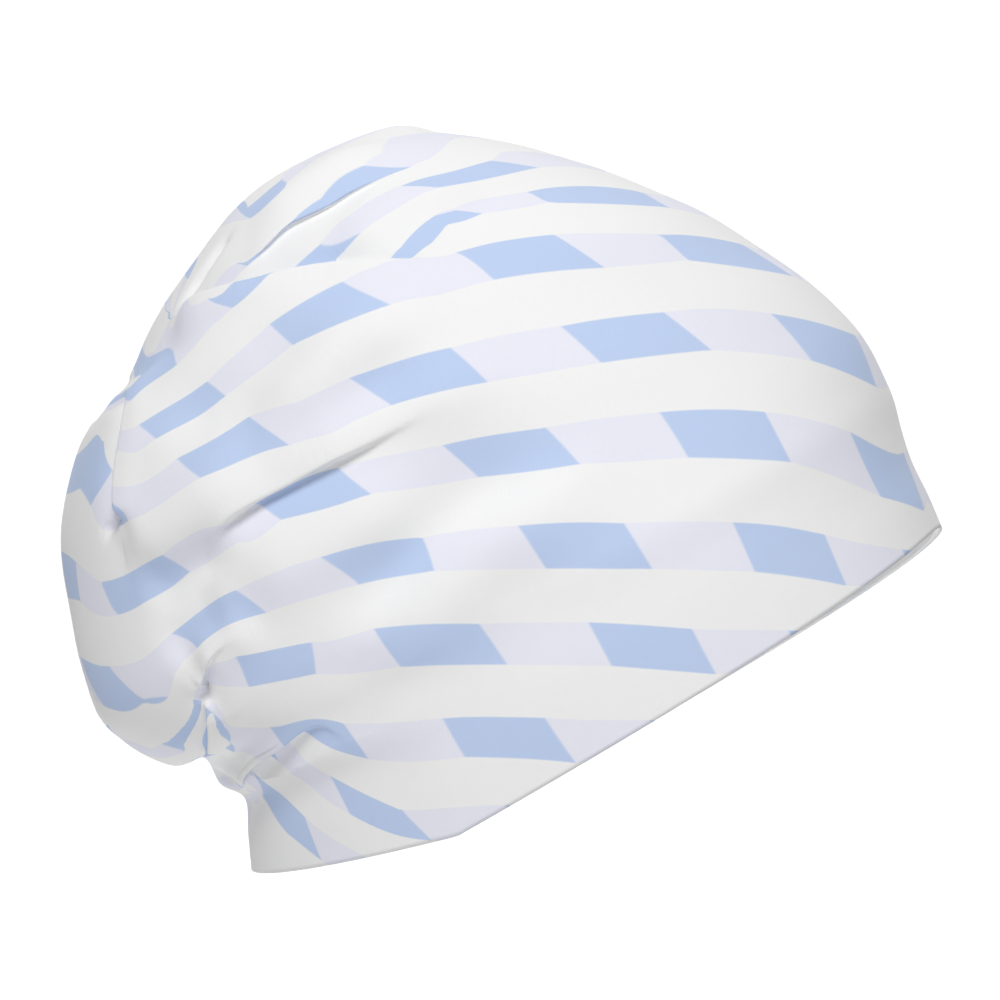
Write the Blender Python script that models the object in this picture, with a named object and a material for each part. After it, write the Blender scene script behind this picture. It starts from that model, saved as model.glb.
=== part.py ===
import math

import bmesh
import bpy
import numpy as np
from mathutils import Vector
from mathutils.bvhtree import BVHTree

# A slouchy jersey beanie in the form it has on a head. Lengths are in metres, +Z is up, the brow is
# towards -Y, the wearer's right side towards -X, and the origin is the middle of the head opening.

# Driving dimensions
OPENING_LENGTH = 0.1965     # brow to nape, straight across the head opening
OPENING_WIDTH = 0.156       # ear to ear across the head opening
OPENING_TILT = math.radians(27.0)   # how far the brow stands above the nape
HEM_DROP = 0.0150           # how far the rim hangs below that straight line behind the ears
CROWN_RISE = 0.1446         # opening's middle up to the peak
PEAK_SETBACK = 0.0540       # opening's middle back to the peak
SLOUCH_REACH = 0.1360       # opening's middle back to the furthest point of the slouch
CROWN_WIDTH = 0.1680        # greatest width over the ears, before the folds
CLOTH = 0.0016              # jersey wall
HEM_THICKNESS = 0.0026      # doubled cloth at the rim
HEM_WIDTH = 0.0140          # height of the doubled cloth
FOLD_DEPTH = 0.0100         # height of a full fold over the smooth form
FOLD_WIDTH = 0.0156         # how far a full fold spreads to each side of its line

COLUMNS = 72                # mesh columns round the hat
BACK_CROWDING = 0.40        # how much closer the columns stand at the back than on average
RINGS = 38                  # mesh rings from rim to peak
LINE_STEPS = 5              # steps between two points of a fold's line
RAY_REACH = 1.0             # fold lines are cast onto the form from this far off

# The smooth form is lofted through these sections, from the rim up. The front point runs from the
# brow (reach 1, rise 0) to the peak (reach 0, rise 1). The back point counts its reach from the
# nape (0) to the slouch (1) in the lower table and from the peak (0) to the slouch (1) in the upper
# one, and its rise from the nape (0) to the peak (1) in both. Width runs from the opening's width (0)
# to the crown's width (1) in the lower table and from nothing to the crown's width in the upper one.
# Drop is a share of the rim's drop.
SECTION_COLUMNS = ("name", "front_reach", "front_rise", "back_reach", "back_rise", "width", "drop")
LOWER_SECTIONS = (
    ("rim", 1.000, 0.000, 0.000, 0.000, 0.000, 1.00),
    ("hem", 0.976, 0.077, 0.011, 0.047, 0.286, 0.90),
    ("nape", 0.945, 0.164, 0.022, 0.097, 0.571, 0.78),
    ("nape_lobe", 0.926, 0.244, 0.151, 0.114, 0.786, 0.66),
    ("nape_pinch", 0.912, 0.318, 0.243, 0.148, 0.929, 0.55),
    ("slouch_foot", 0.893, 0.381, 0.432, 0.131, 1.000, 0.44),
    ("slouch_low", 0.866, 0.455, 0.703, 0.158, 1.000, 0.33),
    ("slouch_heel", 0.829, 0.522, 0.885, 0.211, 1.000, 0.23),
    ("slouch_belly", 0.759, 0.612, 0.973, 0.349, 0.857, 0.14),
)
UPPER_SECTIONS = (
    ("slouch_back", 0.663, 0.704, 1.000, 0.457, 0.965, 0.07),
    ("slouch_high", 0.571, 0.784, 0.955, 0.554, 0.930, 0.03),
    ("slouch_top", 0.479, 0.841, 0.881, 0.605, 0.880, 0.00),
    ("crown_low", 0.387, 0.893, 0.806, 0.638, 0.810, 0.00),
    ("crown_back", 0.313, 0.925, 0.722, 0.719, 0.735, 0.00),
    ("crown_mid", 0.239, 0.955, 0.607, 0.800, 0.640, 0.00),
    ("crown_high", 0.166, 0.975, 0.469, 0.884, 0.500, 0.00),
    ("crown_cap", 0.092, 0.988, 0.299, 0.941, 0.330, 0.00),
)

ROUNDNESS = 2.15            # exponent of a section's oval, 2 is an ellipse
EGG = 0.06                  # how much wider a section is behind its middle
DROP_PEAK = 0.63            # where the rim hangs lowest, brow 0 to nape 1
BROW_SOFTNESS = 0.08        # keeps the rim's arch round over the brow, 0 is a sharp corner
NAPE_CURVE = 0.9            # exponent of the rim's arch down to the nape, 1 is straight

# Folds are laid on the smooth form along lines of points, seen square from the wearer's right or
# left, or from behind. In a point, the first share runs from the slouch (0) to the brow (1), or
# from behind from the wearer's left (0) to right (1), and the second from the nape's hem (0) to
# the peak (1). Height is a share of the fold depth, with a minus sign for a groove, and width a
# share of the fold width. Lip is the share of the height that is a step, where the cloth on the
# upper or brow side of the line laps over the cloth on its other side.
FOLD_COLUMNS = ("name", "side", "height", "width", "lip", "line")
FOLDS = (
    ("back_tuck", "right", 0.60, 1.10, 0.90,
     ((0.15, 0.65), (0.14, 0.61), (0.14, 0.54), (0.15, 0.50), (0.12, 0.45))),
    ("deep_crease", "right", 0.85, 0.75, 0.85,
     ((0.24, 0.42), (0.29, 0.49), (0.36, 0.54), (0.41, 0.57), (0.45, 0.60), (0.52, 0.63))),
    ("middle_ridge", "right", 0.55, 0.60, 0.00,
     ((0.27, 0.38), (0.32, 0.45), (0.37, 0.49), (0.42, 0.53), (0.48, 0.59), (0.54, 0.63))),
    ("middle_groove", "right", -0.35, 0.60, 0.00,
     ((0.36, 0.44), (0.41, 0.47), (0.46, 0.52), (0.51, 0.55), (0.58, 0.58))),
    ("long_ridge", "right", 0.50, 0.90, 0.00,
     ((0.30, 0.30), (0.37, 0.33), (0.44, 0.38), (0.52, 0.45), (0.62, 0.53), (0.74, 0.60))),
    ("high_groove", "right", -0.40, 0.70, 0.00,
     ((0.24, 0.59), (0.33, 0.61), (0.40, 0.66), (0.47, 0.72))),
    ("high_ridge", "right", 0.45, 0.80, 0.00,
     ((0.25, 0.60), (0.33, 0.66), (0.39, 0.71), (0.46, 0.75), (0.56, 0.78))),
    ("crown_lap", "right", -0.75, 0.85, 0.85,
     ((0.22, 0.75), (0.28, 0.79), (0.33, 0.80), (0.39, 0.82), (0.46, 0.83), (0.52, 0.86))),
    ("top_groove", "right", 0.70, 0.80, 0.85,
     ((0.23, 0.76), (0.28, 0.82), (0.33, 0.87), (0.38, 0.90), (0.45, 0.93), (0.54, 0.95))),
    ("nape_gather", "right", -0.60, 0.50, 0.00,
     ((0.20, 0.16), (0.23, 0.23), (0.25, 0.29), (0.29, 0.34), (0.36, 0.37))),
    ("lobe_crease", "right", -0.50, 0.45, 0.00,
     ((0.24, 0.28), (0.26, 0.24), (0.27, 0.19), (0.26, 0.12))),
    ("nape_crease", "right", 0.60, 0.60, 0.85,
     ((0.24, 0.12), (0.29, 0.17), (0.34, 0.21), (0.39, 0.24), (0.46, 0.23))),
    ("deep_crease", "left", 0.75, 0.80, 0.80,
     ((0.22, 0.36), (0.27, 0.44), (0.34, 0.50), (0.42, 0.55), (0.50, 0.61))),
    ("long_ridge", "left", 0.55, 0.90, 0.00,
     ((0.28, 0.28), (0.36, 0.33), (0.45, 0.41), (0.54, 0.49), (0.66, 0.58))),
    ("middle_groove", "left", -0.45, 0.75, 0.00,
     ((0.25, 0.33), (0.33, 0.40), (0.42, 0.48), (0.53, 0.56))),
    ("high_ridge", "left", 0.50, 0.85, 0.00,
     ((0.22, 0.58), (0.31, 0.66), (0.40, 0.73), (0.52, 0.79))),
    ("crown_lap", "left", -0.70, 0.90, 0.80,
     ((0.20, 0.72), (0.27, 0.77), (0.35, 0.81), (0.44, 0.85))),
    ("top_groove", "left", -0.55, 0.70, 0.00,
     ((0.24, 0.80), (0.31, 0.86), (0.39, 0.90), (0.48, 0.93))),
    ("nape_gather", "left", -0.60, 0.55, 0.00,
     ((0.19, 0.15), (0.23, 0.22), (0.27, 0.28), (0.34, 0.34))),
    ("nape_crease", "left", 0.55, 0.60, 0.80,
     ((0.24, 0.12), (0.30, 0.16), (0.36, 0.21), (0.43, 0.22))),
    ("slouch_swag", "back", 0.18, 1.10, 0.00,
     ((0.08, 0.50), (0.25, 0.42), (0.45, 0.39), (0.65, 0.43), (0.85, 0.52))),
    ("slouch_hollow", "back", -0.20, 0.90, 0.00,
     ((0.10, 0.36), (0.30, 0.29), (0.50, 0.27), (0.72, 0.31))),
    ("left_pleat", "back", -0.55, 0.60, 0.00, ((0.34, 0.13), (0.31, 0.21), (0.24, 0.31))),
    ("middle_pleat", "back", -0.45, 0.60, 0.00, ((0.50, 0.13), (0.50, 0.19), (0.47, 0.26))),
    ("right_pleat", "back", -0.50, 0.60, 0.00, ((0.66, 0.13), (0.69, 0.20), (0.76, 0.29))),
    ("left_peak_pleat", "back", -0.45, 0.70, 0.00, ((0.45, 0.97), (0.40, 0.87), (0.34, 0.74))),
    ("right_peak_pleat", "back", -0.35, 0.60, 0.00, ((0.57, 0.96), (0.62, 0.87), (0.66, 0.77))),
)
STEP_SHARPNESS = 0.60       # how much of a fold's width its step takes
TUCK_NARROWING = 0.50       # how much narrower a lap is on its low side
FOLD_START = 0.15           # share of a fold's line over which it rises
FOLD_END = 0.40             # share of a fold's line over which it dies out


def oval_angles():
    """Angles of the columns round a section, 0 at the front, turning to the wearer's right."""
    turns = [2 * math.pi * column / COLUMNS for column in range(COLUMNS)]
    return [turn + BACK_CROWDING * math.sin(turn) for turn in turns]


def brow_point():
    """The brow's place on the rim, seen from the side. The nape lies opposite."""
    half_length = OPENING_LENGTH / 2
    return -half_length * math.cos(OPENING_TILT), half_length * math.sin(OPENING_TILT)


def section_rows():
    """Front and back points, half width and drop of every section, with the peak as the last row."""
    brow = brow_point()
    nape = (-brow[0], -brow[1])
    peak = (PEAK_SETBACK, CROWN_RISE)
    rows = []
    for table, back_from, narrowest in ((LOWER_SECTIONS, nape[0], OPENING_WIDTH),
                                        (UPPER_SECTIONS, peak[0], 0.0)):
        for values in table:
            row = dict(zip(SECTION_COLUMNS, values))
            front_y = peak[0] + row["front_reach"] * (brow[0] - peak[0])
            front_z = brow[1] + row["front_rise"] * (peak[1] - brow[1])
            back_y = back_from + row["back_reach"] * (SLOUCH_REACH - back_from)
            back_z = nape[1] + row["back_rise"] * (peak[1] - nape[1])
            width = narrowest + row["width"] * (CROWN_WIDTH - narrowest)
            rows.append([front_y, front_z, back_y, back_z, width / 2, row["drop"] * HEM_DROP])
    rows.append([*peak, *peak, 0.0, 0.0])
    # Past the peak the form comes down again with front and back exchanged
    before = rows[-2]
    rows.append([before[2], before[3], before[0], before[1], -before[4], 0.0])
    return np.array(rows)


def spline(rows, place):
    """Smooth curve through the rows, read at a place counted in rows."""
    first = min(int(place), len(rows) - 3)
    share = place - first
    before = rows[first - 1] if first else 2 * rows[0] - rows[1]
    p0, p1, p2, p3 = before, rows[first], rows[first + 1], rows[first + 2]
    return 0.5 * (2 * p1 + (p2 - p0) * share + (2 * p0 - 5 * p1 + 4 * p2 - p3) * share ** 2
                  + (3 * p1 - p0 - 3 * p2 + p3) * share ** 3)


def drop_share(along):
    """How far the rim hangs below its straight line, along 0 at the brow and 1 at the nape."""
    if along < DROP_PEAK:
        full = math.sqrt(DROP_PEAK + BROW_SOFTNESS ** 2) - BROW_SOFTNESS
        return (math.sqrt(along + BROW_SOFTNESS ** 2) - BROW_SOFTNESS) / full
    return ((1 - along) / (1 - DROP_PEAK)) ** NAPE_CURVE


def ring_points(rows, place, angles):
    """Points of one ring of the smooth form."""
    front_y, front_z, back_y, back_z, half_width, drop = spline(rows, place)
    middle = np.array([0.0, (front_y + back_y) / 2, (front_z + back_z) / 2])
    reach = np.array([0.0, (front_y - back_y) / 2, (front_z - back_z) / 2])
    down = np.array([0.0, -math.sin(OPENING_TILT), -math.cos(OPENING_TILT)])
    points = []
    for angle in angles:
        cosine, sine = math.cos(angle), math.sin(angle)
        ahead = math.copysign(abs(cosine) ** (2 / ROUNDNESS), cosine)
        aside = math.copysign(abs(sine) ** (2 / ROUNDNESS), sine) * (1 - EGG * cosine)
        side = np.array([-half_width * aside, 0.0, 0.0])
        points.append(middle + reach * ahead + side + down * drop * drop_share((1 - ahead) / 2))
    return np.array(points)


def smooth_form(rings, angles):
    """Grid of points of the smooth form, rings by columns, without the peak."""
    rows = section_rows()
    peak_place = len(rows) - 2
    places = [peak_place * ring / rings for ring in range(rings)]
    return np.array([ring_points(rows, place, angles) for place in places]), rows[peak_place][:2]


def smooth_line(points):
    """A fold's line with its corners rounded."""
    rows = np.array(points)
    rows = np.vstack([rows, 2 * rows[-1] - rows[-2]])
    last = len(points) - 1
    return [spline(rows, place) for place in np.linspace(0, last, LINE_STEPS * last + 1)]


def line_on_form(form, side, line):
    """A fold's line laid on the smooth form by rays from its side, with the form's normals."""
    brow_y, brow_z = brow_point()
    laid, normals = [], []
    for along, up in smooth_line(line):
        z = -brow_z + up * (CROWN_RISE + brow_z)
        if side == "back":
            middle = Vector((CROWN_WIDTH * (0.5 - along), 0, z))
            towards = Vector((0, -1, 0))
        else:
            middle = Vector((0, SLOUCH_REACH + along * (brow_y - SLOUCH_REACH), z))
            towards = Vector((1, 0, 0)) if side == "right" else Vector((-1, 0, 0))
        hit, normal = form.ray_cast(middle - towards * RAY_REACH, towards)[:2]
        if hit is None:
            hit, normal = form.find_nearest(middle)[:2]
        laid.append(hit)
        normals.append(normal)
    return np.array(laid), np.array(normals)


def fold_heights(points, laid, normals, fold):
    """Height of one fold over the smooth form at each of the points."""
    starts, runs = laid[:-1], np.diff(laid, axis=0)
    lengths = np.linalg.norm(runs, axis=1)
    shares = ((points[:, None] - starts) * runs).sum(2) / lengths ** 2
    shares = np.clip(shares, 0, 1)
    offsets = points[:, None] - (starts + shares[:, :, None] * runs)
    distances = np.linalg.norm(offsets, axis=2)
    nearest = distances.argmin(1)
    every = np.arange(len(points))
    distance, offset = distances[every, nearest], offsets[every, nearest]
    upper = np.cross(normals[:-1], runs / lengths[:, None])[nearest]
    if fold["side"] == "left":
        upper = -upper
    aside = (offset * upper).sum(1)
    walked = np.concatenate([[0], np.cumsum(lengths)])
    place = (walked[nearest] + shares[every, nearest] * lengths[nearest]) / walked[-1]

    width = fold["width"] * FOLD_WIDTH
    step = np.tanh(aside / (STEP_SHARPNESS * width))
    low_side = (1 - step) / 2 * fold["lip"]
    bell = np.exp(-(distance / (width * (1 - TUCK_NARROWING * low_side))) ** 2)
    rise = np.clip(place / FOLD_START, 0, 1) * np.clip((1 - place) / FOLD_END, 0, 1)
    fade = np.sin(rise * math.pi / 2)
    shape = 1 - fold["lip"] + fold["lip"] * step
    return fold["height"] * FOLD_DEPTH * bell * shape * fade


def add_patch(bm, corners, slants_right):
    """Two triangles between four corners given as low, next low, next high, high, split along the
    diagonal that the folds follow on that side of the hat."""
    low, next_low, next_high, high = corners
    if slants_right:
        bm.faces.new((next_low, low, high))
        bm.faces.new((next_low, high, next_high))
    else:
        bm.faces.new((next_low, low, next_high))
        bm.faces.new((low, high, next_high))


def crown_mesh():
    grid, peak = smooth_form(RINGS, oval_angles())
    bm = bmesh.new()
    rings = [[bm.verts.new(point) for point in ring] for ring in grid]
    for low, high in zip(rings, rings[1:]):
        for column in range(COLUMNS):
            after = (column + 1) % COLUMNS
            corners = (low[column], low[after], high[after], high[column])
            add_patch(bm, corners, column < COLUMNS // 2)
    top = bm.verts.new((0.0, peak[0], peak[1]))
    for column in range(COLUMNS):
        bm.faces.new((rings[-1][(column + 1) % COLUMNS], rings[-1][column], top))
    bm.normal_update()
    form = BVHTree.FromBMesh(bm)
    points = np.array([vert.co for vert in bm.verts])
    heights = np.zeros(len(points))
    for values in FOLDS:
        fold = dict(zip(FOLD_COLUMNS, values))
        laid, normals = line_on_form(form, fold["side"], fold["line"])
        heights += fold_heights(points, laid, normals, fold)
    for vert, height in zip(list(bm.verts), heights):
        vert.co += vert.normal * height
    mesh = bpy.data.meshes.new("crown")
    bm.to_mesh(mesh)
    bm.free()
    mesh.shade_smooth()
    return mesh


def hem_shares(mesh):
    """How far each vertex belongs to the doubled cloth at the rim, 1 at the rim and 0 above it."""
    points = np.array([vertex.co for vertex in mesh.vertices])
    grid = points[:RINGS * COLUMNS].reshape(RINGS, COLUMNS, 3)
    climbs = np.linalg.norm(np.diff(grid, axis=0), axis=2).cumsum(0)
    climbs = np.vstack([np.zeros((1, COLUMNS)), climbs]).reshape(-1)
    shares = np.clip((HEM_WIDTH - climbs) / HEM_THICKNESS, 0, 1)
    return np.append(shares, 0.0)


def jersey():
    """White printed jersey, seen from afar as a very pale blue."""
    material = bpy.data.materials.new("printed_jersey")
    material.use_nodes = True
    shader = material.node_tree.nodes["Principled BSDF"]
    shader.inputs["Base Color"].default_value = (0.86, 0.89, 0.96, 1.0)
    shader.inputs["Roughness"].default_value = 0.9
    shader.inputs["Metallic"].default_value = 0.0
    return material


def crown():
    mesh = crown_mesh()
    mesh.materials.append(jersey())
    hat = bpy.data.objects.new("crown", mesh)
    bpy.context.collection.objects.link(hat)
    hem = hat.vertex_groups.new(name="hem")
    for index, share in enumerate(hem_shares(mesh)):
        hem.add([index], share, "REPLACE")
    wall = hat.modifiers.new("Wall", "SOLIDIFY")
    wall.thickness = HEM_THICKNESS
    wall.vertex_group = hem.name
    wall.thickness_vertex_group = CLOTH / HEM_THICKNESS
    wall.offset = -1.0
    wall.use_rim = True
    return hat


def main():
    for thing in list(bpy.data.objects):
        bpy.data.objects.remove(thing)
    crown()


main()
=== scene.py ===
import math

import bpy
import numpy as np
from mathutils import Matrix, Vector
from mathutils.bvhtree import BVHTree


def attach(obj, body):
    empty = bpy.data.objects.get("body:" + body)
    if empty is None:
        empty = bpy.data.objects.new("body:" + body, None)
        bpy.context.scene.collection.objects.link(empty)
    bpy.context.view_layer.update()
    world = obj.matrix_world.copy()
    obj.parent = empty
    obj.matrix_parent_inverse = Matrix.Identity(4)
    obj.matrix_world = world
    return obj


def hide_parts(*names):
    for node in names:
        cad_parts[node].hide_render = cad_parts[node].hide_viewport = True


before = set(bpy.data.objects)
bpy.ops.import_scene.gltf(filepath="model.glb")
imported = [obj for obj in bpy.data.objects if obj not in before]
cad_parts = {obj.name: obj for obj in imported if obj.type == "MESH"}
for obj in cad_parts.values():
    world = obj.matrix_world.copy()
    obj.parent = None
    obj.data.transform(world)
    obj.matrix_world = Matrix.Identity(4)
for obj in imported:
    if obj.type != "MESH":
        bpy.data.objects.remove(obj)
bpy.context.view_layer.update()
print("frame loaded")

# Metres, +Z up. The brow is towards -Y and the wearer's right side towards -X. The hat is seen from
# its right side, a little from the front. Pixels are those of a 1000 x 1000 picture.
view = {
    "azimuth": 284.0, "elevation": 4.0, "distance": 1.0,
    "metresPerPixel": 0.000255,        # at the middle of the head opening
    "openingAt": (594.5, 696.0),       # pixel of the middle of the head opening
    "picture": 1000, "sensor": 36.0,
}
mm = 0.001
atOnce = 10000                          # points worked on at a time, which spares memory

# The smooth form, lofted through sections from the rim to the peak as the CAD shell is
form = {
    "openingLength": 0.1965, "openingWidth": 0.156, "tilt": math.radians(27.0), "hemDrop": 0.0150,
    "crownRise": 0.1446, "peakBack": 0.0540, "slouchReach": 0.1360, "crownWidth": 0.1680,
    "roundness": 2.15, "egg": 0.06, "dropPeak": 0.63, "browSoftness": 0.08, "napeCurve": 0.9,
    # front reach and rise, back reach and rise, width, drop
    "lower": {
        "rim": (1.000, 0.000, 0.000, 0.000, 0.000, 1.00),
        "hem": (0.976, 0.077, 0.011, 0.047, 0.286, 0.90),
        "nape": (0.945, 0.164, 0.022, 0.097, 0.571, 0.78),
        "napeLobe": (0.926, 0.244, 0.151, 0.114, 0.786, 0.66),
        "napePinch": (0.912, 0.318, 0.243, 0.148, 0.929, 0.55),
        "slouchFoot": (0.893, 0.381, 0.432, 0.131, 1.000, 0.44),
        "slouchLow": (0.866, 0.455, 0.703, 0.158, 1.000, 0.33),
        "slouchHeel": (0.829, 0.522, 0.885, 0.211, 1.000, 0.23),
        "slouchBelly": (0.759, 0.612, 0.973, 0.349, 0.857, 0.14),
    },
    "upper": {
        "slouchBack": (0.663, 0.704, 1.000, 0.457, 0.965, 0.07),
        "slouchHigh": (0.571, 0.784, 0.955, 0.554, 0.930, 0.03),
        "slouchTop": (0.479, 0.841, 0.881, 0.605, 0.880, 0.00),
        "crownLow": (0.387, 0.893, 0.806, 0.638, 0.810, 0.00),
        "crownBack": (0.313, 0.925, 0.722, 0.719, 0.735, 0.00),
        "crownMid": (0.239, 0.955, 0.607, 0.800, 0.640, 0.00),
        "crownHigh": (0.166, 0.975, 0.469, 0.884, 0.500, 0.00),
        "crownCap": (0.092, 0.988, 0.299, 0.941, 0.330, 0.00),
    },
}

shell = {
    "columns": 204, "rings": 138,
    "crowdAt": math.radians(118.0), "crowdSpread": math.radians(62.0),
    "crowdRight": 1.3, "crowdLeft": 0.455,      # how much denser the columns are where the folds lie
    "finerWithin": (0.0085, 0.0060),   # from a lap's line, each time the faces there are cut in four
    "cloth": 0.0014, "hem": 0.0024, "hemWidth": 0.0140, "hemFade": 0.003,
    "wayUp": 0.25,                     # along the cloth from the rim to the peak
    "insideShare": 0.16,               # of the faces on the inside of the wall, those that are kept
    "insideSpot": (0.0, 0.03, 0.03),   # a place inside the hat
    "seamDepth": 0.0007, "seamWidth": 0.0016,
    "valleyWidth": 0.010, "valleySmooths": 60,      # each side, where the form's valley is smoothed
}


def cameraAxes():
    a, e = math.radians(view["azimuth"]), math.radians(view["elevation"])
    ahead = -np.array([math.sin(a) * math.cos(e), -math.cos(a) * math.cos(e), math.sin(e)])
    right = np.array([math.cos(a), math.sin(a), 0.0])
    up = np.cross(right, ahead)
    middle, step = view["picture"] / 2, view["metresPerPixel"]
    target = right * (middle - view["openingAt"][0]) * step + up * (view["openingAt"][1] - middle) * step
    return right, up, ahead, target - ahead * view["distance"]


def pixelRay(x, y):
    right, up, ahead, eye = cameraAxes()
    middle = view["picture"] / 2
    step = view["metresPerPixel"] / view["distance"]
    ray = ahead + right * (x - middle) * step + up * (middle - y) * step
    return eye, ray / np.linalg.norm(ray)


# smooth form

def sectionRows():
    half = form["openingLength"] / 2
    brow = (-half * math.cos(form["tilt"]), half * math.sin(form["tilt"]))
    nape = (-brow[0], -brow[1])
    peak = (form["peakBack"], form["crownRise"])
    rows = []
    for table, backFrom, narrowest in ((form["lower"], nape[0], form["openingWidth"]),
                                       (form["upper"], peak[0], 0.0)):
        for frontReach, frontRise, backReach, backRise, width, drop in table.values():
            rows.append([
                peak[0] + frontReach * (brow[0] - peak[0]), brow[1] + frontRise * (peak[1] - brow[1]),
                backFrom + backReach * (form["slouchReach"] - backFrom),
                nape[1] + backRise * (peak[1] - nape[1]),
                (narrowest + width * (form["crownWidth"] - narrowest)) / 2, drop * form["hemDrop"]])
    rows.append([*peak, *peak, 0.0, 0.0])
    before = rows[-2]                   # past the peak the form comes down with its sides exchanged
    rows.append([before[2], before[3], before[0], before[1], -before[4], 0.0])
    return np.array(rows)


def curveThrough(rows, places):
    first = np.minimum(places.astype(int), len(rows) - 3)
    share = (places - first)[:, None]
    padded = np.vstack([2 * rows[0] - rows[1], rows])
    p0, p1, p2, p3 = padded[first], padded[first + 1], padded[first + 2], padded[first + 3]
    return 0.5 * (2 * p1 + (p2 - p0) * share + (2 * p0 - 5 * p1 + 4 * p2 - p3) * share ** 2
                  + (3 * p1 - p0 - 3 * p2 + p3) * share ** 3)


def formPoints(places, turns):
    rows = sectionRows()
    values = curveThrough(rows, places * (len(rows) - 2))
    frontY, frontZ, backY, backZ, halfWidth, drop = values.T
    c, s = np.cos(turns), np.sin(turns)
    ahead = np.sign(c) * np.abs(c) ** (2 / form["roundness"])
    aside = np.sign(s) * np.abs(s) ** (2 / form["roundness"]) * (1 - form["egg"] * c)
    along = (1 - ahead) / 2
    soft, top = form["browSoftness"], form["dropPeak"]
    front = (np.sqrt(along + soft ** 2) - soft) / (math.sqrt(top + soft ** 2) - soft)
    back = np.clip((1 - along) / (1 - top), 0, None) ** form["napeCurve"]
    drop = drop * np.where(along < top, front, back)
    y = (frontY + backY) / 2 + (frontY - backY) / 2 * ahead - math.sin(form["tilt"]) * drop
    z = (frontZ + backZ) / 2 + (frontZ - backZ) / 2 * ahead - math.cos(form["tilt"]) * drop
    return np.stack([-halfWidth * aside, y, z], 1)


def columnTurns(count):
    samples = 4001
    fine = np.linspace(-math.pi, math.pi, samples)
    right = np.exp(-((fine - shell["crowdAt"]) / shell["crowdSpread"]) ** 2)
    left = np.exp(-((fine + shell["crowdAt"]) / shell["crowdSpread"]) ** 2)
    density = 1 + shell["crowdRight"] * right + shell["crowdLeft"] * left
    walked = np.concatenate([[0], np.cumsum((density[1:] + density[:-1]) / 2)])
    return np.interp(np.arange(count) / count, walked / walked[-1], fine)


def readPoints(mesh, what):
    values = np.empty(len(mesh.vertices) * 3)
    mesh.vertices.foreach_get(what, values)
    return values.reshape(-1, 3)


def makeShell():
    columns, rings = shell["columns"], shell["rings"]
    bpy.ops.object.select_all(action="DESELECT")
    bpy.ops.mesh.primitive_uv_sphere_add(segments=columns, ring_count=2 * rings, radius=1.0)
    hat = bpy.context.object
    hat.name = "jerseyHat"
    mesh = hat.data
    bpy.ops.object.mode_set(mode="EDIT")
    bpy.ops.mesh.select_all(action="DESELECT")
    bpy.ops.object.mode_set(mode="OBJECT")
    half = 0.5 * math.pi / (2 * rings)
    mesh.vertices.foreach_set("select", [v.co.z < -half for v in mesh.vertices])
    bpy.ops.object.mode_set(mode="EDIT")
    bpy.ops.mesh.delete(type="VERT")    # leaves the upper dome, open at its rim
    bpy.ops.object.mode_set(mode="OBJECT")
    co = readPoints(mesh, "co")
    place = np.round(np.arcsin(np.clip(co[:, 2], -1, 1)) / (math.pi / 2) * rings) / rings
    around = np.arctan2(-co[:, 0], -co[:, 1]) / (2 * math.pi) + 0.5
    slot = np.round(around * columns).astype(int) % columns
    turns = columnTurns(columns)[slot]
    turns[place > 1 - 0.5 / rings] = 0.0
    mesh.vertices.foreach_set("co", formPoints(place, turns).ravel())
    mesh.attributes.new("climb", "FLOAT", "POINT").data.foreach_set("value", place)
    mesh.update()
    side = mesh.polygons[len(mesh.polygons) // 2]
    if side.normal.dot(side.center - Vector(shell["insideSpot"])) < 0:
        mesh.flip_normals()
    bpy.ops.object.shade_smooth()
    return hat


# folds

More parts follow.
